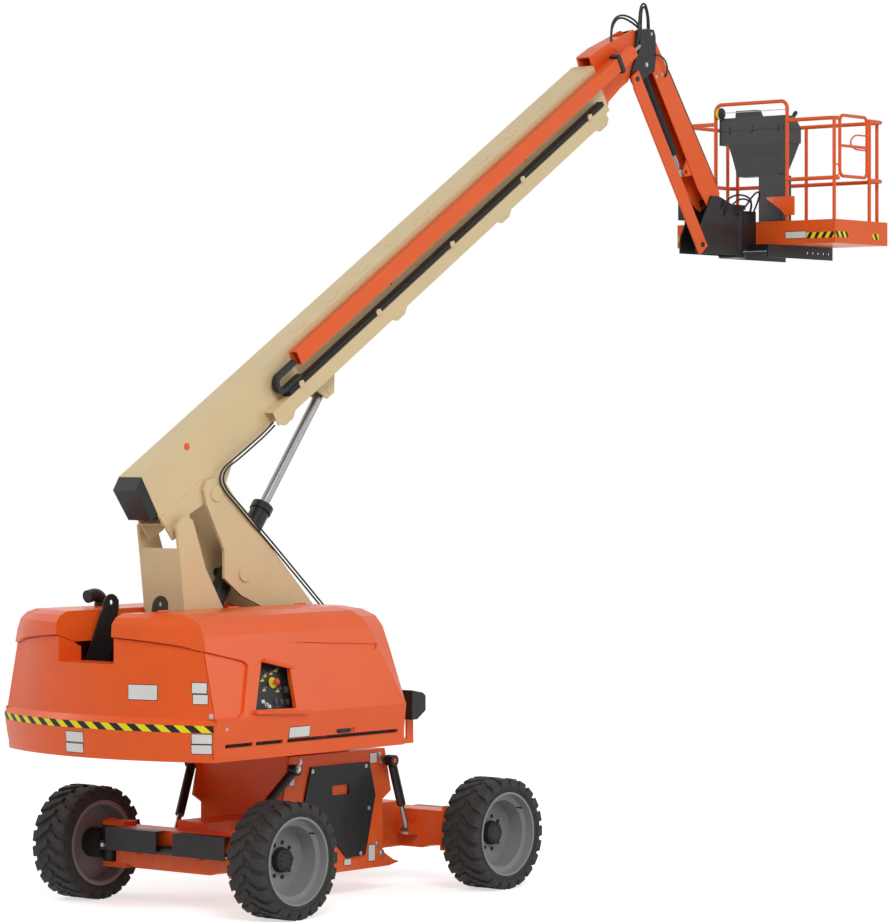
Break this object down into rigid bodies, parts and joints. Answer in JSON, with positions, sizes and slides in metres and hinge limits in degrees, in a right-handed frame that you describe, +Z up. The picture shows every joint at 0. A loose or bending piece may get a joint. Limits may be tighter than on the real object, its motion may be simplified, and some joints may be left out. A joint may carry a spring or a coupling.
{
  "type": "telescopic boom lift",
  "caption": "Self-propelled telescopic boom lift with steered wheels, swinging counterweighted turntable, linked boom base, jib and railed work platform.",
  "frame": {"origin": "on the ground below the turntable's swing centre, midway between the axles", "axes": "+X forward along the boom, +Y to the machine's left, +Z up"},
  "size_m": [9.9798, 2.49, 7.4905],
  "materials": {
    "orange": "satin",
    "cream": "satin",
    "black": "satin",
    "dark_steel": "satin",
    "chrome_rod": "polished",
    "tyre_rubber": "matte",
    "rim_grey": "satin",
    "orange_iron": "satin",
    "orange_hood": "satin",
    "hose_black": "matte",
    "steel": "satin",
    "grey_box": "matte",
    "black_plastic": "satin"
  },
  "bodies": {
    "chassis": {"chassis_frame": "orange", "side_covers": "black", "levelling_barrels": "black", "levelling_rods": "chrome_rod", "front_axle": "orange", "rear_axle": "orange", "steer_cylinders": "black"},
    "turntable": {"turntable_frame": "orange", "slew_ring": "black", "counterweight": "orange_iron", "lifting_lugs": "black", "engine_block": "dark_steel", "ground_panel": "black_plastic", "front_buffers": "hose_black"},
    "left_hood": {"hood_left": "orange_hood", "exhaust": "black"},
    "right_hood": {"hood_right": "orange_hood"},
    "rear_link": {"rear_link": "cream"},
    "upright": {"upright": "cream"},
    "lift_barrel": {"lift_barrel": "black"},
    "lift_rod": {"lift_rod": "chrome_rod"},
    "base_section": {"base_boom": "cream", "boom_end_cap": "black", "hose_tray": "cream"},
    "mid_section": {"mid_boom": "cream", "hose_loop": "hose_black"},
    "fly_section": {"fly_boom": "orange", "carrier_tube": "orange"},
    "head_bracket": {"head_bracket": "orange"},
    "jib_beam": {"jib_beam": "orange"},
    "lower_link": {"lower_link": "orange"},
    "jib_barrel": {"jib_barrel": "black"},
    "jib_rod": {"jib_rod": "chrome_rod"},
    "jib_foot": {"jib_foot": "black"},
    "platform": {"platform_mount": "black", "platform_floor": "orange", "platform_rails": "orange", "console": "grey_box", "stop_wire": "steel"},
    "gate": {"gate": "orange"},
    "front_steer_rod": {"front_steer_rod": "chrome_rod"},
    "rear_steer_rod": {"rear_steer_rod": "chrome_rod"},
    "front_left_knuckle": {"front_left_knuckle": "dark_steel"},
    "front_left_wheel": {"front_left_tyre": "tyre_rubber", "front_left_rim": "rim_grey", "front_left_hub": "dark_steel"},
    "front_right_knuckle": {"front_right_knuckle": "dark_steel"},
    "front_right_wheel": {"front_right_tyre": "tyre_rubber", "front_right_rim": "rim_grey", "front_right_hub": "dark_steel"},
    "rear_left_knuckle": {"rear_left_knuckle": "dark_steel"},
    "rear_left_wheel": {"rear_left_tyre": "tyre_rubber", "rear_left_rim": "rim_grey", "rear_left_hub": "dark_steel"},
    "rear_right_knuckle": {"rear_right_knuckle": "dark_steel"},
    "rear_right_wheel": {"rear_right_tyre": "tyre_rubber", "rear_right_rim": "rim_grey", "rear_right_hub": "dark_steel"}
  },
  "joints": [
    {"name": "swing", "type": "hinge", "parent": "chassis", "child": "turntable", "pos_m": [0, 0, 1.225], "axis": [0, 0, 1], "continuous": true},
    {"name": "front_left_steer", "type": "hinge", "parent": "chassis", "child": "front_left_knuckle", "pos_m": [1.3, 0.8, 0.46], "axis": [0, 0, 1], "range_deg": [-30, 30]},
    {"name": "front_left_roll", "type": "hinge", "parent": "front_left_knuckle", "child": "front_left_wheel", "pos_m": [1.3, 1.065, 0.46], "axis": [0, 1, 0], "continuous": true},
    {"name": "front_right_steer", "type": "hinge", "parent": "chassis", "child": "front_right_knuckle", "pos_m": [1.3, -0.8, 0.46], "axis": [0, 0, 1], "range_deg": [-30, 30]},
    {"name": "front_right_roll", "type": "hinge", "parent": "front_right_knuckle", "child": "front_right_wheel", "pos_m": [1.3, -1.065, 0.46], "axis": [0, 1, 0], "continuous": true},
    {"name": "rear_left_steer", "type": "hinge", "parent": "chassis", "child": "rear_left_knuckle", "pos_m": [-1.3, 0.8, 0.46], "axis": [0, 0, 1], "range_deg": [-30, 30]},
    {"name": "rear_left_roll", "type": "hinge", "parent": "rear_left_knuckle", "child": "rear_left_wheel", "pos_m": [-1.3, 1.065, 0.46], "axis": [0, 1, 0], "continuous": true},
    {"name": "rear_right_steer", "type": "hinge", "parent": "chassis", "child": "rear_right_knuckle", "pos_m": [-1.3, -0.8, 0.46], "axis": [0, 0, 1], "range_deg": [-30, 30]},
    {"name": "rear_right_roll", "type": "hinge", "parent": "rear_right_knuckle", "child": "rear_right_wheel", "pos_m": [-1.3, -1.065, 0.46], "axis": [0, 1, 0], "continuous": true},
    {"name": "front_rod_slide", "type": "slide", "parent": "chassis", "child": "front_steer_rod", "axis": [0, 1, 0], "range_m": [-0.0787, 0.0787]},
    {"name": "rear_rod_slide", "type": "slide", "parent": "chassis", "child": "rear_steer_rod", "axis": [0, 1, 0], "range_m": [-0.0787, 0.0787]},
    {"name": "boom_lift", "type": "hinge", "parent": "turntable", "child": "upright", "pos_m": [0.306, 0, 1.863], "axis": [0, 1, 0], "range_deg": [-19.07, 22.65]},
    {"name": "boom_pivot", "type": "hinge", "parent": "upright", "child": "base_section", "pos_m": [-1.1, 0, 3.297], "axis": [0, -1, 0], "range_deg": [-51.18, 60.77]},
    {"name": "rear_link_pivot", "type": "hinge", "parent": "turntable", "child": "rear_link", "pos_m": [-0.85, 0, 1.69], "axis": [0, 1, 0], "range_deg": [-26.45, 31.41]},
    {"name": "lift_rod_pivot", "type": "hinge", "parent": "base_section", "child": "lift_rod", "pos_m": [0.367, 0, 4.134], "axis": [0, -1, 0], "range_deg": [-10.89, 9.17]},
    {"name": "lift_barrel_slide", "type": "slide", "parent": "lift_rod", "child": "lift_barrel", "axis": [-0.6068, 0, -0.7949], "range_m": [-0.5467, 0.6492]},
    {"name": "telescope", "type": "slide", "parent": "base_section", "child": "mid_section", "axis": [0.8482, 0, 0.5296], "range_m": [0, 3.9]},
    {"name": "fly_slide", "type": "slide", "parent": "mid_section", "child": "fly_section", "axis": [0.8482, 0, 0.5296], "range_m": [0, 3.9019]},
    {"name": "head_level", "type": "hinge", "parent": "fly_section", "child": "head_bracket", "pos_m": [4.665, 0, 7.357], "axis": [0, 1, 0], "range_deg": [-32.06, 38.08]},
    {"name": "jib_lift", "type": "hinge", "parent": "head_bracket", "child": "jib_beam", "pos_m": [4.823, 0, 7.407], "axis": [0, -1, 0], "range_deg": [-4.7, 100]},
    {"name": "jib_link_pivot", "type": "hinge", "parent": "head_bracket", "child": "lower_link", "pos_m": [4.58, -0.116, 7.003], "axis": [0, -1, 0], "range_deg": [-4.71, 100.2]},
    {"name": "jib_foot_pivot", "type": "hinge", "parent": "jib_beam", "child": "jib_foot", "pos_m": [5.84201, 0, 5.93536], "axis": [0, -1, 0], "range_deg": [-100.2, 4.71]},
    {"name": "jib_barrel_pivot", "type": "hinge", "parent": "head_bracket", "child": "jib_barrel", "pos_m": [4.8, 0, 7.14], "axis": [0, -1, 0], "range_deg": [-4.85, 103.28]},
    {"name": "jib_rod_slide", "type": "slide", "parent": "jib_barrel", "child": "jib_rod", "axis": [0.5478, 0, -0.8366], "range_m": [-0.0188, 0.4008]},
    {"name": "platform_rotate", "type": "hinge", "parent": "jib_foot", "child": "platform", "pos_m": [6.3, 0, 5.68], "axis": [0, 0, 1], "range_deg": [-90, 90]},
    {"name": "gate_swing", "type": "hinge", "parent": "platform", "child": "gate", "pos_m": [7.26, -0.885, 6.45], "axis": [0, 0, -1], "range_deg": [0, 85]},
    {"name": "left_hood_lift", "type": "hinge", "parent": "turntable", "child": "left_hood", "pos_m": [-1, 0.302, 2.391], "axis": [1, 0, 0], "range_deg": [0, 60]},
    {"name": "right_hood_lift", "type": "hinge", "parent": "turntable", "child": "right_hood", "pos_m": [-1, -0.302, 2.391], "axis": [-1, 0, 0], "range_deg": [0, 60]}
  ],
  "couplings": [
    {"joint": "front_right_steer", "follows": "front_left_steer", "ratio": 1},
    {"joint": "front_rod_slide", "follows": "front_left_steer", "m_per_rad": 0.15},
    {"joint": "rear_right_steer", "follows": "rear_left_steer", "ratio": 1},
    {"joint": "rear_rod_slide", "follows": "rear_left_steer", "m_per_rad": -0.15},
    {"joint": "boom_pivot", "follows": "boom_lift", "ratio": 2.678},
    {"joint": "rear_link_pivot", "follows": "boom_lift", "ratio": 1.384},
    {"joint": "lift_rod_pivot", "follows": "boom_lift", "ratio": -0.47974},
    {"joint": "lift_barrel_slide", "follows": "boom_lift", "m_per_rad": 1.6392},
    {"joint": "fly_slide", "follows": "telescope", "ratio": 1},
    {"joint": "head_level", "follows": "boom_lift", "ratio": 1.6779},
    {"joint": "jib_link_pivot", "follows": "jib_lift", "ratio": 1},
    {"joint": "jib_foot_pivot", "follows": "jib_lift", "ratio": -1},
    {"joint": "jib_barrel_pivot", "follows": "jib_lift", "ratio": 1.0307},
    {"joint": "jib_rod_slide", "follows": "jib_lift", "m_per_rad": 0.22916}
  ]
}
